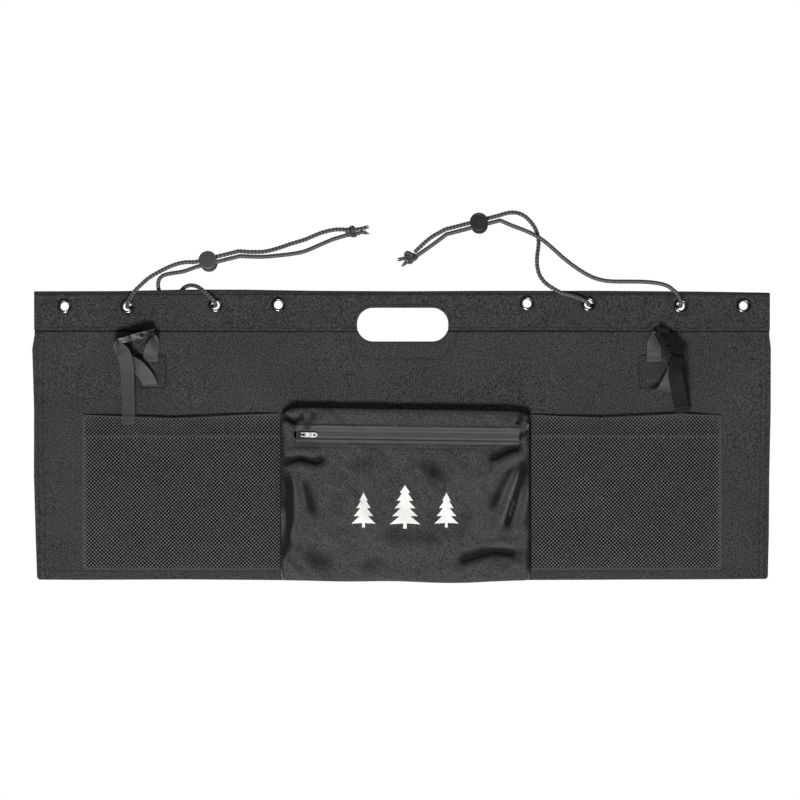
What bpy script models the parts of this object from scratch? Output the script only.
"""Hanging felt blind and organiser.

A felt sheet with a folded header band hangs upright: X runs along it, +Z is up,
-Y is the front, and the back of the header lies on Y = 0. The origin is the
middle of the top edge, on the back face. All numbers below are millimetres;
meshes are written in metres.
"""
import bpy
import bmesh
import math
import numpy as np
from mathutils import Matrix, Vector

MM = 0.001                # metres in a millimetre
X_DIR = (1, 0, 0)

# ---------------------------------------------------------- shared dimensions
GAP = 0.3                 # air between pieces that touch
FELT = 3.0                # sheet thickness
HEADER_T = 2.4            # each layer of the header
HEADER_H = 52.5           # height of the header band

# Planes from back to front
HEADER_BACK = 0.0
REAR_LAYER_FRONT = HEADER_BACK - HEADER_T
SHEET_BACK = REAR_LAYER_FRONT - GAP
SHEET_FRONT = SHEET_BACK - FELT
MOUNT_Y = SHEET_FRONT - GAP             # rear of whatever lies on the sheet's front
HEADER_FRONT = MOUNT_Y - HEADER_T

EYELETS = [               # x, z
    (-457.9, -20.2), (-372.8, -20.7), (-253.1, -18.8), (-167.9, -18.1),
    (169.7, -16.3), (253.3, -17.5), (378.0, -19.8), (463.5, -19.4),
]

# ----------------------------------------------------------------- scene
for old_object in list(bpy.data.objects):
    bpy.data.objects.remove(old_object, do_unlink=True)
for old_collection in list(bpy.data.collections):
    bpy.data.collections.remove(old_collection)
scene = bpy.context.scene
scene.unit_settings.system = 'METRIC'
scene.unit_settings.scale_length = 1.0
PARTS = bpy.data.collections.new("felt_blind_organiser")
scene.collection.children.link(PARTS)


# ----------------------------------------------------------------- materials
def material(name, rgb, rough, metal=0.0):
    mat = bpy.data.materials.new(name)
    mat.use_nodes = True
    shader = mat.node_tree.nodes["Principled BSDF"]
    shader.inputs["Base Color"].default_value = (*rgb, 1.0)
    shader.inputs["Roughness"].default_value = rough
    shader.inputs["Metallic"].default_value = metal
    mat.diffuse_color = (*rgb, 1.0)
    return mat


MATERIALS = {
    "felt": material("felt_charcoal", rgb=(0.043, 0.046, 0.048), rough=0.95),
    "felt_header": material("felt_header", rgb=(0.047, 0.047, 0.046), rough=0.95),
    "pocket": material("pocket_cloth", rgb=(0.056, 0.056, 0.057), rough=0.9),
    "mesh": material("pocket_mesh", rgb=(0.047, 0.050, 0.050), rough=0.85),
    "elastic": material("mesh_hem", rgb=(0.050, 0.052, 0.052), rough=0.85),
    "zip_tape": material("zip_tape", rgb=(0.095, 0.095, 0.095), rough=0.8),
    "coil": material("zip_coil", rgb=(0.030, 0.030, 0.030), rough=0.45),
    "slider": material("zip_slider_black", rgb=(0.020, 0.020, 0.020), rough=0.35, metal=0.6),
    "pull": material("zip_pull_silver", rgb=(0.72, 0.72, 0.70), rough=0.3, metal=1.0),
    "eyelet": material("eyelet_black_nickel", rgb=(0.085, 0.085, 0.085), rough=0.18, metal=1.0),
    "cord": material("cord_braid", rgb=(0.018, 0.018, 0.018), rough=0.75),
    "lock": material("cord_lock_plastic", rgb=(0.060, 0.060, 0.057), rough=0.55),
    "spring": material("spring_steel", rgb=(0.55, 0.55, 0.55), rough=0.3, metal=1.0),
    "buckle": material("buckle_plastic", rgb=(0.022, 0.022, 0.022), rough=0.35),
    "webbing": material("webbing", rgb=(0.060, 0.060, 0.057), rough=0.85),
    "webbing_dark": material("webbing_dark", rgb=(0.024, 0.022, 0.020), rough=0.85),
}


# ------------------------------------------------------------ mesh handling
def link(data):
    ob = bpy.data.objects.new("helper", data)
    scene.collection.objects.link(ob)
    return ob


def evaluated_mesh(ob):
    bpy.context.view_layer.update()
    graph = bpy.context.evaluated_depsgraph_get()
    return bpy.data.meshes.new_from_object(ob.evaluated_get(graph))


def mesh_from(bm, name):
    mesh = bpy.data.meshes.new(name)
    bm.to_mesh(mesh)
    bm.free()
    return mesh


def tidy(mesh):
    bm = bmesh.new()
    bm.from_mesh(mesh)
    bmesh.ops.remove_doubles(bm, verts=bm.verts, dist=0.001)
    bmesh.ops.recalc_face_normals(bm, faces=bm.faces)
    bm.to_mesh(mesh)
    bm.free()
    return mesh


def take(ob):
    """Mesh of a helper object as evaluated; the helper is removed."""
    mesh = evaluated_mesh(ob)
    bpy.data.objects.remove(ob, do_unlink=True)
    return tidy(mesh)


def combine(mesh, others, operation='DIFFERENCE'):
    """Boolean of a mesh with each of the others in turn; returns a new mesh."""
    for other in others:
        base, tool = link(mesh), link(other)
        mod = base.modifiers.new("boolean", 'BOOLEAN')
        mod.operation = operation
        mod.solver = 'EXACT'
        mod.object = tool
        mesh = evaluated_mesh(base)
        bpy.data.objects.remove(base, do_unlink=True)
        bpy.data.objects.remove(tool, do_unlink=True)
        bm = bmesh.new()
        bm.from_mesh(mesh)
        bmesh.ops.remove_doubles(bm, verts=bm.verts, dist=0.002)
        bmesh.ops.dissolve_degenerate(bm, dist=0.002, edges=bm.edges)
        bm.to_mesh(mesh)
        bm.free()
    return mesh


def moved(mesh, matrix):
    mesh.transform(matrix)
    if matrix.determinant() < 0:
        mesh.flip_normals()
    return mesh


def put(name, mesh, mat, origin=(0, 0, 0), smooth=False):
    """Turn a millimetre mesh into a finished object with its origin at the given point."""
    origin = Vector(origin)
    mesh.transform(Matrix.Translation(-origin))
    mesh.transform(Matrix.Scale(MM, 4))
    mesh.name = name
    mesh.materials.clear()
    mesh.materials.append(MATERIALS[mat])
    for face in mesh.polygons:
        face.use_smooth = smooth
        face.material_index = 0
    ob = bpy.data.objects.new(name, mesh)
    ob.location = origin * MM
    PARTS.objects.link(ob)


def frame(origin, x_axis, y_axis, z_axis):
    matrix = Matrix((x_axis, y_axis, z_axis)).transposed().to_4x4()
    matrix.translation = origin
    return matrix


def square_to(direction, axis):
    """Unit vector of a direction with its part along a unit axis taken out."""
    return (direction - direction.dot(axis) * axis).normalized()


# ----------------------------------------------------------------- outlines
def rounded(x0, x1, z0, z1, r, steps):
    corners = ((x1 - r, z1 - r, 0), (x0 + r, z1 - r, 90),
               (x0 + r, z0 + r, 180), (x1 - r, z0 + r, 270))
    points = []
    for cx, cz, start in corners:
        for k in range(steps + 1):
            a = math.radians(start + 90 * k / steps)
            points.append((cx + r * math.cos(a), cz + r * math.sin(a)))
    return points


def circle(cx, cz, r, count):
    angles = [2 * math.pi * k / count for k in range(count)]
    return [(cx + r * math.cos(a), cz + r * math.sin(a)) for a in angles]


# ------------------------------------------------------------------- solids
def box(x0, x1, y0, y1, z0, z1):
    mid = ((x0 + x1) / 2, (y0 + y1) / 2, (z0 + z1) / 2)
    size = (abs(x1 - x0), abs(y1 - y0), abs(z1 - z0), 1.0)
    bm = bmesh.new()
    bmesh.ops.create_cube(bm, size=1.0, matrix=Matrix.Translation(mid) @ Matrix.Diagonal(size))
    return mesh_from(bm, "box")


def cylinder(r, z0, z1, segments):
    bm = bmesh.new()
    bmesh.ops.create_cone(bm, cap_ends=True, segments=segments, radius1=r, radius2=r,
                          depth=z1 - z0, matrix=Matrix.Translation((0, 0, (z0 + z1) / 2)))
    return mesh_from(bm, "cylinder")


def cross_rod(x, z, r, half_length):
    """Rod lying along Y, centred on Y = 0."""
    turn = Matrix.Rotation(math.radians(-90), 4, 'X')
    rod = cylinder(r, -half_length, half_length, 12)
    return moved(rod, Matrix.Translation((x, 0, z)) @ turn)


def flat(outline, thick):
    """Closed outline as a filled 2D curve, extruded to a thickness about its plane."""
    curve = bpy.data.curves.new("outline", 'CURVE')
    curve.dimensions = '2D'
    curve.fill_mode = 'BOTH'
    curve.extrude = thick / 2
    line = curve.splines.new('POLY')
    line.points.add(len(outline) - 1)
    for point, (x, y) in zip(line.points, outline):
        point.co = (x, y, 0, 1)
    line.use_cyclic_u = True
    return take(link(curve))


def prism(outline, y0, y1):
    """Closed outline in x, z extruded from y0 to y1."""
    mesh = flat(outline, abs(y1 - y0))
    mesh.transform(frame((0, (y0 + y1) / 2, 0), (1, 0, 0), (0, 0, 1), (0, -1, 0)))
    return mesh


def slab(outline, z0, z1):
    """Closed outline in x, y extruded from z0 to z1."""
    swap_yz = frame((0, 0, 0), (1, 0, 0), (0, 0, 1), (0, 1, 0))
    return moved(prism(outline, z0, z1), swap_yz)


def loft(rings):
    """Closed solid through unlike sections with the same number of corners."""
    corners, last = len(rings[0]), len(rings) - 1
    verts = [tuple(float(c) for c in point) for ring in rings for point in ring]
    faces = [tuple(range(corners)),
             tuple(range((last + 1) * corners - 1, last * corners - 1, -1))]
    for i in range(last):
        a, b = i * corners, (i + 1) * corners
        for k in range(corners):
            following = (k + 1) % corners
            faces.append((a + k, a + following, b + following, b + k))
    mesh = bpy.data.meshes.new("loft")
    mesh.from_pydata(verts, [], faces)
    mesh.update()
    return tidy(mesh)


def turned(profile, steps, closed=True):
    """Profile of (radius, height) turned about local +Z; an open one is closed at the axis."""
    points = list(profile)
    if not closed:
        points = [(0.0, profile[0][1])] + points + [(0.0, profile[-1][1])]
    bm = bmesh.new()
    verts = [bm.verts.new((r, 0, z)) for r, z in points]
    for i in range(len(verts) - (0 if closed else 1)):
        bm.edges.new((verts[i], verts[(i + 1) % len(verts)]))
    ob = link(mesh_from(bm, "profile"))
    mod = ob.modifiers.new("turn", 'SCREW')
    mod.axis = 'Z'
    mod.angle = 2 * math.pi
    mod.steps = steps
    mod.render_steps = steps
    mod.use_merge_vertices = True
    mod.merge_threshold = 0.0001
    mod.use_normal_calculate = True
    return take(ob)


def tube(points, r, resolution=2):
    """Cord or wire: a poly curve with a round bevel and filled caps."""
    curve = bpy.data.curves.new("tube", 'CURVE')
    curve.dimensions = '3D'
    curve.bevel_depth = r
    curve.bevel_resolution = resolution
    curve.use_fill_caps = True
    curve.twist_mode = 'MINIMUM'
    line = curve.splines.new('POLY')
    line.points.add(len(points) - 1)
    for point, place in zip(line.points, points):
        point.co = (*place, 1)
    return take(link(curve))


def spline(rows, per_span):
    """Smooth curve through rows of numbers; its tangents allow for uneven spacing."""
    keys = np.array(rows, float)
    spans = np.linalg.norm(np.diff(keys[:, :3], axis=0), axis=1)
    slopes = np.diff(keys, axis=0) / spans[:, None]
    tangents = np.empty_like(keys)
    tangents[0], tangents[-1] = slopes[0], slopes[-1]
    for i in range(1, len(keys) - 1):
        before, after = spans[i - 1], spans[i]
        tangents[i] = (slopes[i - 1] * after + slopes[i] * before) / (before + after)
    points = []
    for i, span in enumerate(spans):
        for k in range(per_span):
            t = k / per_span
            points.append((2 * t ** 3 - 3 * t * t + 1) * keys[i]
                          + (t ** 3 - 2 * t * t + t) * span * tangents[i]
                          + (3 * t * t - 2 * t ** 3) * keys[i + 1]
                          + (t ** 3 - t * t) * span * tangents[i + 1])
    points.append(keys[-1])
    return [tuple(point) for point in points]


def ribbon(stations, width, thick):
    """Strip that bends and twists: a loft through (centre, width direction) stations."""
    centres = [Vector(station[:3]) for station in stations]
    last = len(centres) - 1
    rings = []
    for i, centre in enumerate(centres):
        along = (centres[min(i + 1, last)] - centres[max(i - 1, 0)]).normalized()
        across = square_to(Vector(stations[i][3:6]), along)
        normal = along.cross(across)
        rings.append([centre + a * width / 2 * across + n * thick / 2 * normal
                      for a, n in ((1, 1), (-1, 1), (-1, -1), (1, -1))])
    return loft(rings)


def bowed_sheet(x0, x1, z0, z1, x_cells, z_cells, front, thick):
    """Grid pushed to y = front(x, z), thickened backwards with Solidify."""
    bm = bmesh.new()
    bmesh.ops.create_grid(bm, x_segments=x_cells, y_segments=z_cells, size=0.5)
    for vert in bm.verts:
        x = x0 + (vert.co.x + 0.5) * (x1 - x0)
        z = z0 + (vert.co.y + 0.5) * (z1 - z0)
        vert.co = (x, front(x, z), z)
    bmesh.ops.recalc_face_normals(bm, faces=bm.faces)
    bm.faces.ensure_lookup_table()
    # The normals have to face the front for Solidify to grow backwards.
    if bm.faces[0].normal.y > 0:
        bmesh.ops.reverse_faces(bm, faces=bm.faces)
    ob = link(mesh_from(bm, "sheet"))
    mod = ob.modifiers.new("thick", 'SOLIDIFY')
    mod.thickness = thick
    mod.offset = -1.0
    return take(ob)


# ---------------------------------------------------------- felt and header
HEADER_HALF = 499.5       # half width of the header
SHEET_TOP_HALF = 501.5    # half width of the sheet just under the header
SHEET_BOTTOM_HALF = 497.0
HEIGHT = 392.0            # top edge to bottom edge
SHEET_CORNER = 3.0        # chamfer of the sheet's bottom corners
FOLD_CHAMFER = 2.0        # chamfer along the header's top edges
SLOT = {"x0": -61.0, "x1": 62.8, "z0": -67.8, "z1": -22.3, "r": 21.7}   # hand slot
FELT_HOLE_R = 6.95
CUT_Y = (-20, 12)         # reach of the cutters through all layers

slot_cutter = prism(rounded(**SLOT, steps=5), *CUT_Y)
hole_cutters = [prism(circle(x, z, FELT_HOLE_R, 16), *CUT_Y) for x, z in EYELETS]


def felt_panel():
    top = -HEADER_T - GAP
    widest = -HEADER_H - 25
    right_edge = [(SHEET_BOTTOM_HALF - SHEET_CORNER, -HEIGHT),
                  (SHEET_BOTTOM_HALF, -HEIGHT + SHEET_CORNER),
                  (SHEET_TOP_HALF, widest), (HEADER_HALF - 0.5, top)]
    left_edge = [(-x, z) for x, z in right_edge]
    outline = [left_edge[0]] + right_edge + left_edge[:0:-1]
    panel = combine(prism(outline, SHEET_BACK, SHEET_FRONT), [slot_cutter] + hole_cutters)
    put("felt_panel", panel, "felt")


def header_band():
    """Inverted U folded over the top of the sheet."""
    section = [           # y, z
        (HEADER_BACK, -HEADER_H), (HEADER_BACK, -FOLD_CHAMFER),
        (HEADER_BACK - FOLD_CHAMFER, 0.0), (HEADER_FRONT + FOLD_CHAMFER, 0.0),
        (HEADER_FRONT, -FOLD_CHAMFER), (HEADER_FRONT, -HEADER_H),
        (MOUNT_Y, -HEADER_H), (MOUNT_Y, -HEADER_T),
        (REAR_LAYER_FRONT, -HEADER_T), (REAR_LAYER_FRONT, -HEADER_H),
    ]
    solid = flat(section, 2 * HEADER_HALF)
    solid.transform(frame((0, 0, 0), (0, 1, 0), (0, 0, 1), (1, 0, 0)))
    put("header_band", combine(solid, [slot_cutter] + hole_cutters), "felt_header")


def hand_slot_facing():
    """Felt behind the sheet, round the part of the slot below the header."""
    top = -HEADER_H - 0.6
    outline = [(-72.0, top), (-72.0, -72.0), (-47.0, -91.5),
               (53.5, -91.5), (73.0, -72.0), (73.0, top)]
    facing = combine(prism(outline, HEADER_BACK, REAR_LAYER_FRONT), [slot_cutter])
    put("hand_slot_facing", facing, "felt")


felt_panel()
header_band()
hand_slot_facing()

# ------------------------------------------------------------------ eyelets
# Local +Z points to the front. The front flange, the barrel and the rolled
# lip are one pressing; a flat washer is caught under the lip at the back.
EYE_BORE_R = 5.9
EYE_BARREL_R = 6.6
EYE_FLANGE_R = 10.0
FLANGE_Z = -HEADER_FRONT + GAP          # height of the flange's underside
EYELET_PROFILE = [        # radius, height
    (EYE_BORE_R, -1.7), (EYE_BORE_R, FLANGE_Z + 0.9), (EYE_BORE_R + 1.6, FLANGE_Z + 2.0),
    (EYE_FLANGE_R - 1.2, FLANGE_Z + 1.5), (EYE_FLANGE_R, FLANGE_Z + 0.2),
    (EYE_FLANGE_R - 0.3, FLANGE_Z), (EYE_BARREL_R, FLANGE_Z), (EYE_BARREL_R, -1.6),
    (8.0, -1.6), (8.0, -2.4), (EYE_BORE_R + 0.6, -2.5),
]
WASHER_PROFILE = [(6.9, -0.3), (10.0, -0.3), (10.0, -1.3), (6.9, -1.3)]


def eyelets():
    eyelet = turned(EYELET_PROFILE, 16)
    washer = turned(WASHER_PROFILE, 16)
    for i, (x, z) in enumerate(EYELETS, 1):
        origin = (x, 0, z)
        place = frame(origin, (1, 0, 0), (0, 0, 1), (0, -1, 0))
        put("eyelet_%d" % i, moved(eyelet.copy(), place), "eyelet", origin, smooth=True)
        put("eyelet_washer_%d" % i, moved(washer.copy(), place), "eyelet", origin)


eyelets()

# ------------------------------------------------------------- mesh pockets
MESH_X = {"left": (-432.3, -164.9), "right": (174.6, 432.7)}
MESH_TOP, HEM_SEAM, MESH_BOTTOM = -167.8, -197.5, -376.5
MESH_T = 1.2
HEM_T = 2.2
BOW_DEPTH = 8.5           # scale of the bulge towards the front


def mesh_pocket(side):
    x0, x1 = MESH_X[side]

    def bow(x, z):
        u = (x - x0) / (x1 - x0)
        v = (z - MESH_BOTTOM) / (MESH_TOP - MESH_BOTTOM)
        # max() keeps rounding at the edges from giving a negative base.
        across = max(0.0, math.sin(math.pi * u)) ** 0.7
        upward = max(0.0, math.sin(math.pi * v * 0.62)) ** 0.8
        return BOW_DEPTH * across * upward

    net = bowed_sheet(x0, x1, MESH_BOTTOM, HEM_SEAM - GAP, 12, 7,
                      lambda x, z: MOUNT_Y - MESH_T - bow(x, z), MESH_T)
    put(side + "_mesh_pocket", net, "mesh", smooth=True)
    hem = bowed_sheet(x0, x1, HEM_SEAM, MESH_TOP, 12, 2,
                      lambda x, z: MOUNT_Y - HEM_T - bow(x, z), HEM_T)
    put(side + "_mesh_hem", hem, "elastic", smooth=True)


for side in ("left", "right"):
    mesh_pocket(side)

# ------------------------------------------------------------ centre pocket
# A box of cloth: U-shaped gusset, roof with the strip above the zip, and the
# front below it. The zip line falls towards +X by ZIP_TILT.
ZIP_MID_X, ZIP_MID_Z = 8.1, -196.3
ZIP_TILT = math.radians(0.8)
ZIP_Y = -31.6             # rear face of the zip tapes
TAPE_T = 0.7
POCKET_X0, POCKET_X1 = -163.5, 172.5
POCKET_BOTTOM = -391.6
POCKET_TOP = -160.5
CLOTH = 1.6
FRONT_REAR = ZIP_Y - TAPE_T - GAP       # rear of the front cloth
LIP = 5.2                 # from the zip line to the cloth edge on each side
OPENING_X0, OPENING_X1 = -144.0, 160.8  # ends of the zip opening


def zip_z(x):
    return ZIP_MID_Z - math.tan(ZIP_TILT) * (x - ZIP_MID_X)


def pocket_gusset():
    inside = box(POCKET_X0 + CLOTH, POCKET_X1 - CLOTH, MOUNT_Y + 5, FRONT_REAR - 5,
                 POCKET_BOTTOM + CLOTH, 0)
    outside = box(POCKET_X0, POCKET_X1, MOUNT_Y, FRONT_REAR + GAP,
                  POCKET_BOTTOM, POCKET_TOP - 3.0)
    put("centre_pocket_gusset", combine(outside, [inside]), "pocket")


def pocket_top():
    face = FRONT_REAR - CLOTH
    under = POCKET_TOP - CLOTH
    rings = []
    for x in (POCKET_X0, POCKET_X1):
        edge = zip_z(x) + LIP
        rings.append([(x, MOUNT_Y, POCKET_TOP), (x, MOUNT_Y, under), (x, FRONT_REAR, under),
                      (x, FRONT_REAR, edge), (x, face, edge), (x, face, under),
                      (x, FRONT_REAR, POCKET_TOP)])
    put("centre_pocket_top", loft(rings), "pocket")


def pocket_front():
    def upper(x):
        return (x, zip_z(x) + LIP - GAP)

    def lower(x):
        return (x, zip_z(x) - LIP)

    outline = [(POCKET_X0, POCKET_BOTTOM), (POCKET_X1, POCKET_BOTTOM), upper(POCKET_X1),
               upper(OPENING_X1), lower(OPENING_X1), lower(OPENING_X0), upper(OPENING_X0),
               upper(POCKET_X0)]
    put("centre_pocket_front", prism(outline, FRONT_REAR, FRONT_REAR - CLOTH), "pocket")


pocket_gusset()
pocket_top()
pocket_front()

# --------------------------------------------------------------------- zip
# Local frame: u along the zip, v up, w out of the front.
ZIP_HALF = 151.0          # half length of the tapes
SLIDER_U = -144.5         # slider position along the zip
HINGE_W = 4.4             # height of the pull's hinge line
ZIP_FRAME = frame((ZIP_MID_X, ZIP_Y, ZIP_MID_Z),
                  (math.cos(ZIP_TILT), 0, -math.sin(ZIP_TILT)),
                  (math.sin(ZIP_TILT), 0, math.cos(ZIP_TILT)),
                  (0, -1, 0))
# Outlines of u from the slider's middle, v
SLIDER_PLATE = [
    (-6.2, -3.0), (-3.0, -4.6), (3.2, -4.6), (6.2, -2.6),
    (6.2, 2.6), (3.2, 4.6), (-3.0, 4.6), (-6.2, 3.0),
]
PULL_PLATE = [
    (0, -3.0), (17.0, -3.4), (21.2, -2.6), (22.6, 0.0), (21.2, 2.6), (17.0, 3.4), (0, 3.0),
]
PULL_WINDOW = [
    (1.1, -1.0), (1.7, -1.6), (5.4, -1.6), (6.4, 0.0), (5.4, 1.6), (1.7, 1.6), (1.1, 1.0),
]


def slider_slab(outline, w0, w1):
    return slab([(SLIDER_U + u, v) for u, v in outline], w0, w1)


def slider_box(u0, u1, v0, v1, w0, w1):
    return box(SLIDER_U + u0, SLIDER_U + u1, v0, v1, w0, w1)


def zip_strips():
    for name, sign in (("upper", 1), ("lower", -1)):
        tape = box(-ZIP_HALF, ZIP_HALF, sign * 3.05, sign * 13.0, 0, TAPE_T)
        put("zip_tape_" + name, moved(tape, ZIP_FRAME), "zip_tape")
        coil = box(-ZIP_HALF, ZIP_HALF - 3.5, sign * 0.85, sign * 2.75, -0.6, 1.3)
        put("zip_coil_" + name, moved(coil, ZIP_FRAME), "coil")


def zip_end_stop():
    stop = box(ZIP_HALF - 3.2, ZIP_HALF - 0.4, -2.75, 2.75, -0.8, 1.6)
    put("zip_end_stop", moved(stop, ZIP_FRAME), "slider")


def zip_slider():
    front_plate = slider_slab(SLIDER_PLATE, 1.7, 2.95)
    rear_plate = slider_slab(SLIDER_PLATE, -2.3, -1.0)
    post = slider_box(2.0, 4.6, -0.5, 0.5, -1.6, 2.2)
    upper_rail = slider_box(-2.9, 3.1, 3.6, 4.5, 1.05, 2.2)
    lower_rail = slider_box(-2.9, 3.1, -4.5, -3.6, 1.05, 2.2)
    bridge = slider_box(-2.7, 2.7, -1.0, 1.0, 2.5, 6.9)
    bridge_hole = slider_box(-1.5, 1.5, -3, 3, 2.85, 5.95)
    slider = combine(front_plate, [rear_plate, post, upper_rail, lower_rail, bridge], 'UNION')
    slider = combine(slider, [bridge_hole])
    origin = ZIP_FRAME @ Vector((SLIDER_U, 0, 0))
    put("zip_slider", moved(slider, ZIP_FRAME), "slider", origin)


def zip_pull():
    plate = slider_slab(PULL_PLATE, HINGE_W - 0.7, HINGE_W + 0.7)
    window = slider_slab(PULL_WINDOW, 0, 12)
    end_hole = slider_slab(circle(18.2, 0, 1.5, 12), 0, 12)
    hinge = cross_rod(SLIDER_U, HINGE_W, 0.78, 3.0)
    pull = combine(plate, [hinge], 'UNION')
    pull = combine(pull, [window, end_hole])
    origin = ZIP_FRAME @ Vector((SLIDER_U, 0, HINGE_W))
    put("zip_pull", moved(pull, ZIP_FRAME), "pull", origin)


zip_strips()
zip_end_stop()
zip_slider()
zip_pull()


# --------------------------------------------------------------- cord locks
# Local frame: x along the cords, y across the two strands, z from the closed
# end of the body to the plunger's head.
def lock_frame(origin, lift_deg, tilt_deg):
    lift, tilt = math.radians(lift_deg), math.radians(tilt_deg)
    along = Vector((math.cos(lift), 0, math.sin(lift)))
    upright = Vector((-math.sin(lift), 0, math.cos(lift)))
    out = Vector((0, -1, 0))
    axis = math.cos(tilt) * out + math.sin(tilt) * upright
    across = math.cos(tilt) * upright - math.sin(tilt) * out
    return frame(origin, along, across, axis)


LOCKS = {
    "left": lock_frame((-262.6, -15.0, 40.5), lift_deg=14.0, tilt_deg=10.0),
    "right": lock_frame((104.5, -15.0, 92.2), lift_deg=14.5, tilt_deg=10.0),
}
PLUNGER_TRAVEL = 4.5
BODY_PROFILE = [          # radius, height
    (10.6, -16.5), (11.6, -15.5), (11.6, 3.0), (11.0, 4.0), (9.2, 4.0), (9.2, -15.0),
]
PLUNGER_PROFILE = [
    (8.0, -6.0), (8.8, -5.4), (8.8, 8.8), (12.3, 8.8), (12.3, 11.2), (11.5, 12.0),
]
SPRING_R = 5.2
SPRING_START, SPRING_LENGTH = -14.2, 7.4
SPRING_TURNS, SPRING_STEPS = 3.5, 10    # steps are per turn


def cord_lock(side):
    place = LOCKS[side]
    origin = place.translation
    body = combine(turned(BODY_PROFILE, 24, closed=False), [box(-14, 14, -6.8, 6.8, -3.3, 3.3)])
    put(side + "_cord_lock_body", moved(body, place), "lock", origin, smooth=True)

    cord_window = box(-14, 14, -6.8, 6.8, -3.2, 3.2 + PLUNGER_TRAVEL)
    head_recess = cylinder(9.6, 11.2, 13.0, 24)
    plunger = combine(turned(PLUNGER_PROFILE, 24, closed=False), [cord_window, head_recess])
    put(side + "_cord_lock_plunger", moved(plunger, place), "lock", origin, smooth=True)

    count = int(SPRING_TURNS * SPRING_STEPS)
    wire = []
    for k in range(count + 1):
        a = 2 * math.pi * k / SPRING_STEPS
        wire.append((SPRING_R * math.cos(a), SPRING_R * math.sin(a),
                     SPRING_START + SPRING_LENGTH * k / count))
    spring = moved(tube(wire, 0.5, resolution=1), place)
    put(side + "_cord_lock_spring", spring, "spring", origin, smooth=True)


for side in ("left", "right"):
    cord_lock(side)

# --------------------------------------------------------------------- cords
# All cord tables are centreline points x, y, z.
CORD_R = 2.9
KNOT_END_R = CORD_R * 0.97              # cord ends that leave a knot
STRAND = 3.5              # half the distance between the two strands in a lock
KNOT_PROFILE = [          # radius, height of a knot of unit size
    (0.35, -1.0), (0.8, -0.72), (1.0, -0.25), (0.93, 0.05), (1.0, 0.35), (0.75, 0.8), (0.35, 1.0),
]

# Left: the upper strand comes from in front of the header, the lower from behind it.
LEFT_UPPER_IN = [
    (-351.0, -12.7, 11.5), (-345.2, -12.8, 16.6), (-325.0, -13.4, 28.6), (-311.0, -14.0, 35.0),
    (-295.0, -15.0, 39.2),
]
LEFT_UPPER_OUT = [
    (-189.8, -15.5, 53.2), (-168.9, -13.0, 58.0), (-151.6, -11.0, 64.1), (-130.8, -9.5, 70.5),
    (-110.0, -8.5, 79.3), (-89.3, -8.0, 84.0), (-72.0, -7.5, 83.5),
]
LEFT_LOWER_IN = [
    (-331.4, 2.6, 11.8), (-330.6, 1.2, 15.2), (-326.0, -3.5, 20.8), (-314.5, -7.5, 24.2),
    (-297.2, -12.0, 26.8),
]
LEFT_LOWER_OUT = [
    (-189.8, -10.0, 46.8), (-168.9, -7.5, 48.6), (-151.6, -6.5, 50.6), (-134.2, -6.0, 53.8),
    (-117.0, -6.0, 60.7), (-92.7, -6.5, 71.1), (-72.0, -7.0, 77.0),
]
LEFT_KNOT_ENDS = [
    [(-66.0, -7.5, 83.5), (-56.0, -8.0, 85.0), (-47.0, -8.5, 86.8)],
    [(-66.0, -7.5, 77.5), (-56.0, -8.0, 78.6), (-46.5, -8.5, 78.0)],
]
# Right: both strands come from in front of the header.
RIGHT_UPPER_IN = [
    (207.5, -12.6, 2.6), (197.6, -12.8, 8.6), (187.2, -12.5, 20.5), (183.3, -12.5, 34.2),
    (183.3, -12.0, 48.5), (185.5, -9.5, 66.2), (182.6, -9.0, 81.5), (174.0, -10.0, 95.0),
    (161.5, -12.5, 104.8), (147.0, -14.5, 106.8),
]
RIGHT_UPPER_OUT = [(38.0, -13.0, 72.0), (17.0, -9.5, 53.0)]
RIGHT_LOWER_IN = [
    (366.0, -12.6, 3.2), (361.0, -12.8, 6.8), (346.7, -12.8, 11.0), (325.4, -12.8, 13.0),
    (297.0, -12.8, 13.2), (275.7, -12.8, 14.2), (257.9, -13.0, 19.2), (240.1, -13.5, 29.2),
    (218.9, -14.5, 45.0), (201.1, -16.0, 60.9), (184.6, -16.5, 73.5), (168.5, -16.0, 81.6),
    (150.5, -15.4, 88.4),
]
RIGHT_LOWER_OUT = [(42.0, -12.0, 63.5), (19.0, -9.0, 47.5)]
RIGHT_KNOT_ENDS = [
    [(9.0, -8.5, 45.8), (2.5, -8.8, 44.6), (-4.5, -9.0, 43.5)],
    [(10.0, -8.5, 44.0), (5.0, -5.5, 38.5), (1.5, -5.0, 34.5)],
]
# The cords that pass through two eyelets and behind the header between them
LEFT_CORD = [
    (-351.6, -12.7, 10.9), (-356.0, -12.7, 6.8), (-362.1, -12.9, 0.6), (-366.6, -13.4, -5.5),
    (-370.2, -14.4, -12.0), (-372.2, -13.6, -17.2), (-372.8, -10.5, -20.2),
    (-372.8, -6.0, -20.7), (-372.8, 0.0, -20.7), (-372.4, 3.6, -20.9), (-369.6, 6.7, -21.8),
    (-364.0, 7.0, -23.0), (-352.0, 6.8, -25.0), (-313.0, 6.6, -27.5), (-272.0, 6.8, -23.5),
    (-262.5, 7.0, -21.0), (-256.6, 6.7, -19.6), (-253.6, 3.6, -18.9), (-253.1, 0.0, -18.8),
    (-253.1, -6.0, -18.8), (-253.0, -10.5, -18.2), (-253.6, -13.6, -15.2),
    (-256.6, -14.4, -11.0), (-263.4, -13.2, -4.4), (-272.5, -11.2, 3.2), (-280.0, -6.5, 7.4),
    (-288.6, -1.5, 8.3), (-296.0, 3.0, 5.6), (-301.5, 5.0, 0.0), (-309.0, 5.4, -6.0),
    (-319.0, 5.2, -8.0), (-328.0, 4.9, -2.5), (-331.2, 4.3, 4.5), (-331.5, 3.1, 10.9),
]
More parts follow.
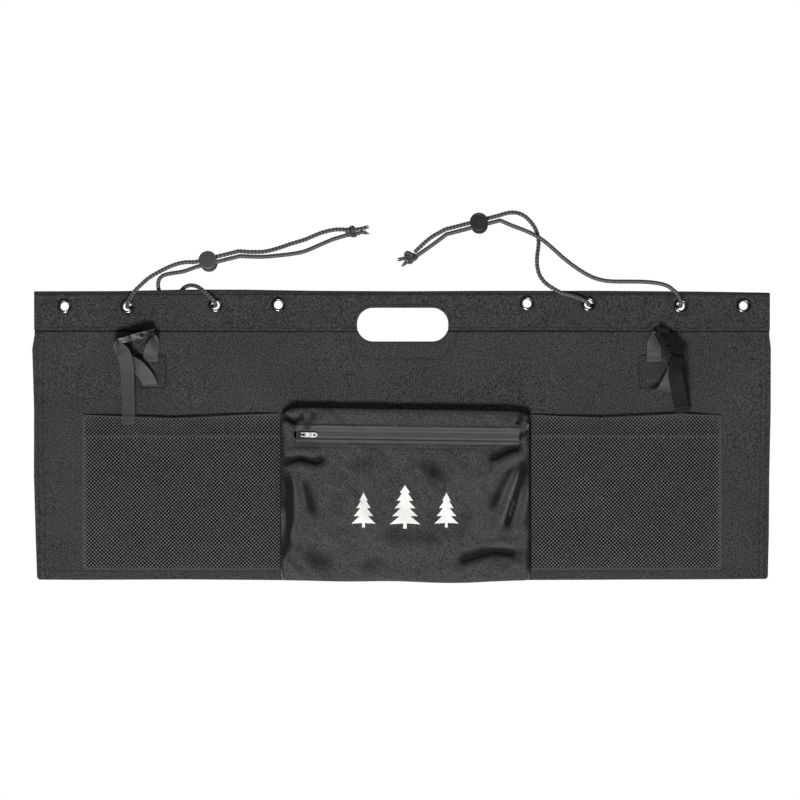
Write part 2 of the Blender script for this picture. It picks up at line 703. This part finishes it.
RIGHT_CORD = [
    (208.0, -12.6, 2.2), (217.0, -12.7, -2.6), (229.5, -12.8, -5.8), (241.0, -13.8, -9.6),
    (247.0, -14.5, -12.6), (251.6, -13.4, -15.6), (253.2, -10.5, -17.3), (253.3, -6.0, -17.5),
    (253.3, 0.0, -17.5), (253.7, 3.6, -17.7), (256.6, 6.7, -18.6), (262.0, 7.0, -20.4),
    (274.0, 6.8, -24.0), (315.0, 6.6, -27.5), (358.0, 6.8, -24.5), (368.6, 7.0, -21.8),
    (374.6, 6.7, -20.4), (377.5, 3.6, -19.9), (378.0, 0.0, -19.8), (378.0, -6.0, -19.8),
    (378.0, -10.5, -19.2), (377.9, -13.6, -16.2), (377.2, -14.4, -11.4), (373.5, -13.2, -3.8),
    (366.7, -12.6, 2.6),
]


def knot(centre, size, turn_deg):
    mesh = turned(KNOT_PROFILE, 12, closed=False)
    mesh.transform(Matrix.Translation(centre)
                   @ Matrix.Rotation(math.radians(turn_deg), 4, 'Y')
                   @ Matrix.Diagonal((*size, 1)))
    return mesh


def strand(side, sign, entry_x, exit_x, into, out_of, per_in, per_out):
    """Strand that curves into its lock, runs straight through and curves on to the knot."""
    enter, leave = [tuple(LOCKS[side] @ Vector((x, sign * STRAND, 0)))
                    for x in (entry_x, exit_x)]
    points = (spline(into + [enter], per_in)[:-1] + [enter, leave]
              + spline([leave] + out_of, per_out)[1:])
    return tube(points, CORD_R)


def cord_loop(side, knot_mesh, strands, knot_ends, origin):
    ends = [tube(points, KNOT_END_R) for points in knot_ends]
    loop = combine(knot_mesh, strands + ends, 'UNION')
    put(side + "_cord_loop", loop, "cord", origin, smooth=True)


cord_loop("left", knot((-68.5, -8.0, 80.5), size=(8.4, 7.6, 9.0), turn_deg=80),
          [strand("left", 1, -18.0, 43.5, LEFT_UPPER_IN, LEFT_UPPER_OUT, 3, 2),
           strand("left", -1, -18.0, 43.5, LEFT_LOWER_IN, LEFT_LOWER_OUT, 3, 2)],
          LEFT_KNOT_ENDS, origin=(-345.0, -4.5, 3.0))
cord_loop("right", knot((11.5, -8.5, 46.2), size=(8.3, 7.6, 12.0), turn_deg=55),
          [strand("right", 1, 28.5, -46.5, RIGHT_UPPER_IN, RIGHT_UPPER_OUT, 2, 3),
           strand("right", -1, 28.5, -46.5, RIGHT_LOWER_IN, RIGHT_LOWER_OUT, 2, 3)],
          RIGHT_KNOT_ENDS, origin=(290.0, -12.0, 1.0))
put("left_cord", tube(spline(LEFT_CORD, 2), CORD_R), "cord", smooth=True)
put("right_cord", tube(spline(RIGHT_CORD, 2), CORD_R), "cord", smooth=True)

# ------------------------------------------------------------------ buckles
# Local frame: x from the male end to the female end, y across, z through.
BUCKLE_END = 24.0         # either end, from the middle
BUCKLE_HALF_W = 13.0
FEMALE_HALF_T = 4.4
MALE_HALF_T = 4.0
BAR_X = 22.6              # webbing bars, from the middle
BAR_R = 1.3
PIVOT_X, PIVOT_Y = -6.2, 8.4            # round root of a prong
PRONG_OUTLINE = [         # x, y
    (PIVOT_X, 7.1), (12.0, 7.0), (14.2, 7.8), (14.4, 9.0), (11.6, 12.0), (9.5, 12.5),
    (5.2, 12.4), (5.2, 9.7), (PIVOT_X, 9.7),
]
TONGUE_OUTLINE = [
    (-5.0, -1.9), (14.0, -1.9), (16.0, -1.0), (16.0, 1.0), (14.0, 1.9), (-5.0, 1.9),
]


def left_buckle_frame():
    along = Vector((0.967, 0, 0.255)).normalized()
    across = square_to(Vector((0.03, -1.0, -0.11)), along)
    return frame((-362.8, -26.5, -61.5), along, across, along.cross(across))


def right_buckle_frame():
    """The buckle is rolled 50 degrees about its length."""
    along = Vector((-16.5, 28.5, 34.9)).normalized()
    level = square_to(Vector((0.904, 0, 0.428)), along)
    roll = math.radians(50)
    across = math.cos(roll) * level + math.sin(roll) * along.cross(level)
    return frame((361.5, -37.0, -73.7), along, across, along.cross(across))


BUCKLES = {"left": left_buckle_frame(), "right": right_buckle_frame()}
STRAP_ORIGINS = {"left": (-329.0, -12.0, -75.0), "right": (330.0, -12.0, -75.0)}


def pivot_post(sign, r, half_t):
    post = cylinder(r, -half_t, half_t, 16)
    return moved(post, Matrix.Translation((PIVOT_X, sign * PIVOT_Y, 0)))


def buckle_female():
    half = [(-4.0, 12.4), (-3.0, BUCKLE_HALF_W), (17.0, BUCKLE_HALF_W), (22.0, 12.6),
            (BUCKLE_END, 11.4)]
    outline = [(x, -y) for x, y in half] + half[::-1]
    cavity = box(-8, 16.6, -10.4, 10.4, -3.0, 3.0)
    side_windows = box(4.5, 13.6, -16, 16, -3.0, 3.0)
    webbing_slot = box(19.1, 30, -10.8, 10.8, -9, 9)
    face_recess = box(7.0, 12.5, -5.0, 5.0, 3.4, 9)
    mesh = combine(slab(outline, -FEMALE_HALF_T, FEMALE_HALF_T),
                   [cavity, side_windows, webbing_slot, face_recess])
    return combine(mesh, [cross_rod(BAR_X, 0, BAR_R, 11.6)], 'UNION')


def buckle_male():
    half = [(-BUCKLE_END, 11.4), (-22.0, 12.6), (-19.0, BUCKLE_HALF_W), (-4.3, BUCKLE_HALF_W)]
    outline = [(x, -y) for x, y in half] + half[::-1]
    cutters = [box(-30, -19.1, -10.8, 10.8, -9, 9)]     # webbing slot
    for sign in (-1, 1):                                # seats of the prongs
        cutters.append(box(PIVOT_X, 0, sign * 5.2, sign * 20.0, -9, 9))
        cutters.append(pivot_post(sign, 2.1, 9))
    mesh = combine(slab(outline, -MALE_HALF_T, MALE_HALF_T), cutters)
    bar = cross_rod(-BAR_X, 0, BAR_R, 11.6)
    return combine(mesh, [bar, slab(TONGUE_OUTLINE, -1.6, 1.6)], 'UNION')


def buckle_prong(sign):
    arm = slab([(x, sign * y) for x, y in PRONG_OUTLINE], -2.5, 2.5)
    return combine(arm, [pivot_post(sign, 1.75, 2.5)], 'UNION')


def buckle(side):
    place, origin = BUCKLES[side], STRAP_ORIGINS[side]
    put(side + "_buckle_female", moved(buckle_female(), place), "buckle", origin)
    put(side + "_buckle_male", moved(buckle_male(), place), "buckle", origin)
    for name, sign in (("a", 1), ("b", -1)):
        pivot = place @ Vector((PIVOT_X, sign * PIVOT_Y, 0))
        put(side + "_buckle_prong_" + name, moved(buckle_prong(sign), place), "buckle", pivot)


# ------------------------------------------------------------------- straps
WEB_W = 20.0              # webbing width
WEB_T = 1.3
PATCH_X = {"left": -341.0, "right": 342.0}      # middle of the strap patch
PATCH_HALF_W = 19.6
PATCH_Z = (-130.0, -87.0)
PATCH_T = 3.1
TUNNEL_HALF_W = 10.8
TUNNEL_T = 1.95           # room for the webbing behind the patch
SLIT_UP, SLIT_LOW = -92.0, -124.0
SLIT_HALF_H = 3.2
WEB_IN_PATCH_Y = MOUNT_Y - 1.0
WEB_IN_SLIT_Y = -9.7

# Webbing round a bar: distance from the bar towards the buckle's middle, local z
BAR_TURN = [(0, 2.55), (1.8, 1.8), (2.55, 0), (1.8, -1.8), (0, -2.55)]
FEMALE_WRAP = ([(29.5, -2.2), (26.0, -2.5)] + [(BAR_X - d, -z) for d, z in BAR_TURN]
               + [(26.0, 3.4)])
MALE_WRAP = [(-26.0, 3.6)] + [(-BAR_X + d, z) for d, z in BAR_TURN] + [(-26.0, -2.7)]

# Stations: centre x, y, z, then the direction of the width.
# Tab: female end to the patch. Leg: patch to the male end. Tail: free end.
LEFT_X, RIGHT_X = PATCH_X["left"], PATCH_X["right"]
RIGHT_ACROSS = tuple(BUCKLES["right"].col[1][:3])
TAB = {
    "left": [
        (-333.2, -25.8, -60.4, 0.1, -0.99, 0), (-332.6, -23.8, -65.5, 0.45, -0.9, 0),
        (-335.5, -20.2, -71.5, 0.8, -0.6, 0), (-339.3, -15.6, -79.0, 0.99, -0.1, 0),
        (LEFT_X, -12.4, -86.2, *X_DIR),
    ],
    "right": [
        (342.6, -13.0, -70.0, 0.95, 0.2, 0), (RIGHT_X, -12.8, -79.0, *X_DIR),
        (RIGHT_X, -12.4, -86.2, *X_DIR),
    ],
}
LEG = {
    "left": [
        (LEFT_X, -12.6, -128.0, *X_DIR), (LEFT_X - 0.4, -16.0, -126.6, *X_DIR),
        (LEFT_X - 1.6, -17.6, -122.6, *X_DIR), (-346.4, -18.4, -115.8, 0.98, -0.05, 0.17),
        (-354.6, -19.6, -105.6, 0.93, -0.2, 0.2), (-366.5, -22.0, -93.6, 0.85, -0.5, 0),
        (-380.0, -25.5, -80.0, 0.4, -0.9, 0),
    ],
    "right": [
        (RIGHT_X, -12.6, -128.4, *X_DIR), (343.2, -17.2, -130.8, *X_DIR),
        (347.6, -22.6, -132.6, *X_DIR), (355.0, -31.0, -132.0, 0.95, -0.2, 0),
        (362.0, -39.0, -121.0, 0.9, -0.1, 0.1), (366.3, -43.5, -109.0, 0.87, 0.35, 0),
    ],
}
TAIL = {
    "left": [
        (-395.5, -26.5, -72.0, 0.1, -1.0, 0), (-394.0, -28.5, -82.0, 0.5, -0.86, 0),
        (-385.0, -30.5, -95.0, 0.77, -0.64, 0), (-375.0, -29.0, -112.0, 0.85, -0.53, 0),
        (-371.0, -25.0, -138.0, 0.85, -0.53, 0), (-370.5, -22.5, -163.0, 0.87, -0.5, 0),
        (-370.5, -22.0, -179.5, 0.87, -0.5, 0),
    ],
    "right": [
        (373.3, -56.2, -93.9, *RIGHT_ACROSS), (373.9, -58.2, -99.6, *RIGHT_ACROSS),
        (374.2, -57.6, -107.0, 0.88, 0.45, 0), (375.6, -53.2, -117.0, 0.97, 0.2, 0),
        (377.8, -46.0, -128.5, 1, 0, 0), (380.8, -35.0, -143.5, 1, 0, 0),
        (384.0, -24.0, -156.0, 1, 0, 0.05), (386.5, -19.0, -163.5, 1, 0, 0.05),
    ],
}


def strap_patch(side):
    """Bridge of felt over the webbing, with an upper and a lower slit."""
    x = PATCH_X[side]
    x0, x1 = x - TUNNEL_HALF_W, x + TUNNEL_HALF_W
    patch = prism(rounded(x - PATCH_HALF_W, x + PATCH_HALF_W, *PATCH_Z, r=4.0, steps=3),
                  MOUNT_Y, MOUNT_Y - PATCH_T)
    cutters = [box(x0, x1, SHEET_FRONT + 2, MOUNT_Y - TUNNEL_T,
                   SLIT_LOW - SLIT_HALF_H, SLIT_UP + SLIT_HALF_H)]
    for z in (SLIT_UP, SLIT_LOW):
        cutters.append(box(x0, x1, -30, 0, z - SLIT_HALF_H, z + SLIT_HALF_H))
    put(side + "_strap_patch", combine(patch, cutters), "felt")


def strap(side, tail_material):
    place = BUCKLES[side]
    along, across, normal = (place.col[i].to_3d() for i in range(3))

    def wrap(table):
        return [(*(place @ Vector((x, 0, z))), *across) for x, z in table]

    at_female, at_male = wrap(FEMALE_WRAP), wrap(MALE_WRAP)
    x = PATCH_X[side]
    through = [(x, y, z, *X_DIR) for y, z in (
        (WEB_IN_SLIT_Y, SLIT_UP + 2.0), (WEB_IN_PATCH_Y, SLIT_UP - 2.4),
        (WEB_IN_PATCH_Y, SLIT_UP - 6.0), (WEB_IN_PATCH_Y, SLIT_LOW + 6.0),
        (WEB_IN_PATCH_Y, SLIT_LOW + 2.4), (WEB_IN_SLIT_Y, SLIT_LOW - 2.0))]

    # The leg stops just short of the webbing on the male bar.
    if side == "left":
        stop, stop_across, over = 3.2, across, []
    else:
        stop, stop_across = 6.5, (0.8, 0.55, -0.1)
        # The tab first turns over the top of the buckle about its own width.
        start = Vector(at_female[-1][:3])
        over = [(*(start + 5.0 * (math.sin(a) * along + (1 - math.cos(a)) * normal)), *across)
                for a in (0.6, 1.2, 1.8, 2.35)]
    male_start, leg_last = Vector(at_male[0][:3]), Vector(LEG[side][-1][:3])
    leg_end = (*(male_start + stop * (leg_last - male_start).normalized()), *stop_across)

    web = at_female + over + TAB[side] + through + LEG[side] + [leg_end]
    put(side + "_strap_webbing", ribbon(spline(web, 2), WEB_W, WEB_T), "webbing")
    tail = ribbon(spline(at_male + TAIL[side], 2), WEB_W, WEB_T)
    put(side + "_strap_tail", tail, tail_material, STRAP_ORIGINS[side])


for side, tail_material in (("left", "webbing"), ("right", "webbing_dark")):
    buckle(side)
    strap_patch(side)
    strap(side, tail_material)
